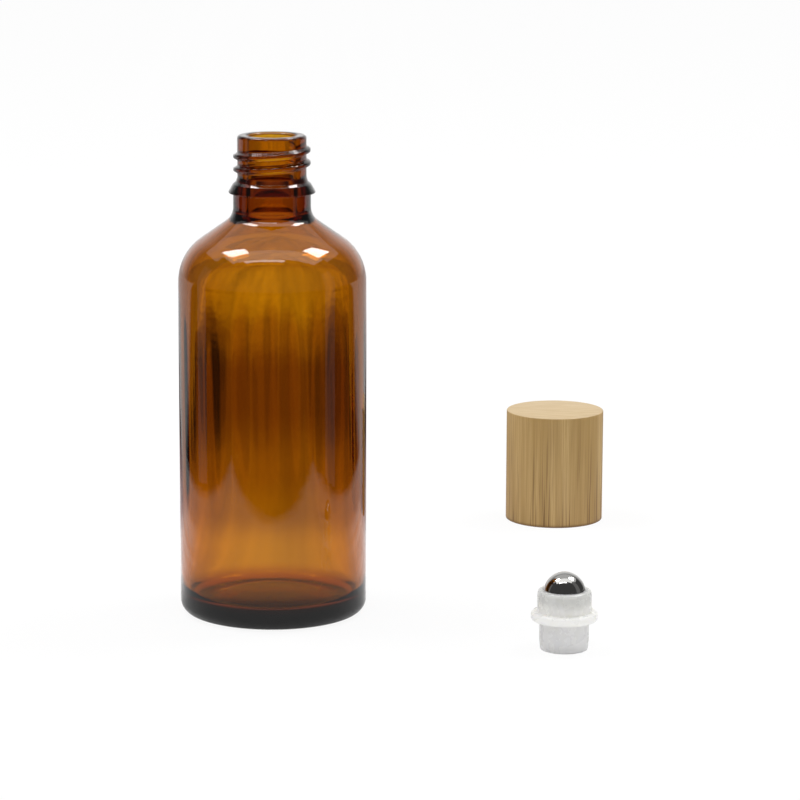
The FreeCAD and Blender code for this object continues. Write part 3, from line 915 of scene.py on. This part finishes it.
def shadow_across(tree, place, aside, back):
    """Streaks that uneven glass throws into its shadow, which deepens towards its sides."""
    squeeze = add_node(tree, "ShaderNodeMapping", {
        "Vector": place.outputs["Object"],
        "Scale": (1 / (STREAK_WIDTH * MM), 1 / (STREAK_LENGTH * MM), 1)})
    noise = add_node(tree, "ShaderNodeTexNoise", {
        "Vector": squeeze.outputs["Vector"], "Scale": 1.0, "Detail": 3.0})
    streaks = blend_colour(tree, stretch_range(tree, noise.outputs["Fac"], *STREAKS_SHOW),
                           grey(STREAK_DIM), grey(STREAK_BRIGHT))
    deepen = stretch_range(tree, aside, SHADOW_CORE * MM, SHADOW_DEEP * MM)
    for first, last in (DEEPENS, LIGHTENS):
        stretch = stretch_range(tree, back, first * MM, last * MM)
        deepen = calculate(tree, "MULTIPLY", deepen, stretch)
    return blend_colour(tree, deepen, streaks, grey(SIDE_LEVEL))


print(f"the shadow's streaks are about {STREAK_WIDTH:.0f} mm wide")

# %% Lay the ground
PAPER, PAPER_BEHIND, DARK = 0.62, 0.64, 0.02
SHADOW_END, SHADOW_SOFT, BEHIND = 112.0, 0.85, 30.0
LIFT, FAR = 0.4, 2400.0


def ground_pattern(tree, glow):
    """Grey paper, its dark surroundings, and the bottle's shadow behind it."""
    place = add_node(tree, "ShaderNodeTexCoord")
    split = add_node(tree, "ShaderNodeSeparateXYZ", {0: place.outputs["Object"]})
    aside = calculate(tree, "ABSOLUTE", split.outputs["X"])
    back = split.outputs["Y"]
    shadow = blend_colour(tree, 1.0, shadow_along(tree, back),
                          shadow_across(tree, place, aside, back), "MULTIPLY")
    in_shadow = stretch_range(tree, aside, SHADOW_END * MM, SHADOW_SOFT * SHADOW_END * MM)
    behind = blend_colour(tree, in_shadow, grey(PAPER_BEHIND), shadow)
    lit = blend_colour(tree, stretch_range(tree, back, 0.0, BEHIND * MM), grey(PAPER), behind)
    ground = blend_colour(tree, dark_ground(tree, place, aside, back), lit, grey(DARK))
    feed(tree, glow.inputs["Color"], ground)


ground_corners = [(-FAR, -FAR, LIFT), (FAR, -FAR, LIFT), (FAR, FAR, LIFT), (-FAR, FAR, LIFT)]
ground_pattern(*make_card("grey_paper", ground_corners, 1.0))

# %% Stand a dim strip on each side
STRIP_HALF, STRIP_HIGH, STRIP_GLOW = 22.0, 160.0, 0.22
STRIPS_AT = {"left": (-165.0, 0.0), "right": (160.0, -55.0)}


def upright_strip(x, y):
    return [(x, y - STRIP_HALF, 0), (x, y + STRIP_HALF, 0),
            (x, y + STRIP_HALF, STRIP_HIGH), (x, y - STRIP_HALF, STRIP_HIGH)]


for side, (x, y) in STRIPS_AT.items():
    make_card(f"edge_strip_{side}", upright_strip(x, y), STRIP_GLOW)

# %% A dim dome over everything
ROOM, BACK_FROM, BACK_FULL = 0.08, 0.55 * FAR, 0.9 * FAR


def make_dim_room():
    """A wide dome that is dim, and white to mirrors low down behind the table."""
    bpy.ops.object.select_all(action="DESELECT")
    bpy.ops.mesh.primitive_uv_sphere_add(radius=FAR * MM)
    dome = bpy.context.object
    dome.name = "dim_room"
    finish, tree, glow = glow_material("dim_room", 1.0)
    place = add_node(tree, "ShaderNodeTexCoord")
    split = add_node(tree, "ShaderNodeSeparateXYZ", {0: place.outputs["Object"]})
    behind = stretch_range(tree, split.outputs["Y"], BACK_FROM * MM, BACK_FULL * MM)
    mirrored = add_node(tree, "ShaderNodeLightPath").outputs["Is Glossy Ray"]
    behind = calculate(tree, "MULTIPLY", behind, mirrored)
    level = calculate(tree, "ADD", ROOM, calculate(tree, "MULTIPLY", behind, 1 - ROOM))
    feed(tree, glow.inputs["Strength"], level)
    dome.data.materials.append(finish)
    hide_but_mirrored(dome)
    print(f"{dome.name}: {FAR * MM} m in radius, level {ROOM}")


make_dim_room()

# %% [markdown]
# ## Light
# Two square softboxes hang a metre over the table, left and right, and a pale room fills
# the shadows. Where they hang follows from their glints on the shoulder: each glint marks a
# normal, and the mirrored line of sight points at the lamp. Their white faces are panels
# that only mirrors see, so that the glints are bright while the light stays plain. A bar in
# front gives the thin glint between them, and two dim panels over them stand for the
# ceiling, which lies as a pale veil on the shoulder.

# %% Panels that mirrors see
HANG = 1000
LOW, HIGH = HANG + 2, HANG + 4
# Strength, then the height over the table and the corners in millimetres.
PANELS = {
    "left": (16.0, LOW, [(-705, 370), (-310, 225), (-285, 35), (-615, -30)]),
    "right": (16.0, LOW, [(356, 180), (440, 410), (810, 580), (734, 50)]),
    "front_bar": (6.0, LOW, [(-468, -290), (-468, -390), (220, -420), (220, -320)]),
    "ceiling": (1.7, HIGH, [(-760, 105), (900, 105), (900, -300), (-760, -300)]),
    "back_ceiling": (0.8, HIGH, [(-1100, 900), (1100, 900), (1100, 105), (-1100, 105)]),
}
for name, (strength, level, corners) in PANELS.items():
    make_card(f"panel_{name}", [(*corner, level) for corner in corners], strength)

# %% Softboxes that give the light
LAMP_SIZE, LAMP_POWER = 0.38, 4.2
for side in ("left", "right"):
    lamp_data = bpy.data.lights.new(f"softbox_{side}", "AREA")
    lamp_data.size = LAMP_SIZE
    lamp_data.energy = LAMP_POWER
    lamp = bpy.data.objects.new(f"softbox_{side}", lamp_data)
    corners = PANELS[side][2]
    middle = sum((Vector(corner) for corner in corners), Vector((0, 0))) / len(corners)
    lamp.location = Vector((middle.x, middle.y, HANG)) * MM
    lamp.visible_glossy = False
    lamp.visible_transmission = False
    bpy.context.scene.collection.objects.link(lamp)
    print(f"{lamp.name} at {middle.x:.0f}, {middle.y:.0f} mm")

# %% A pale room
ROOM_FILL = 0.8
world = bpy.data.worlds.new("white_room")
bpy.context.scene.world = world
world.use_nodes = True
room = world.node_tree
wire(room, room.nodes["Background"], {
    "Color": (1, 1, 1),
    "Strength": stretch_range(room, seen_directly(room), 0.0, 1.0, ROOM_FILL, 1.0)})
bpy.context.scene.view_settings.view_transform = "Standard"
print(f"the room fills shadows at {ROOM_FILL} and is seen as white")
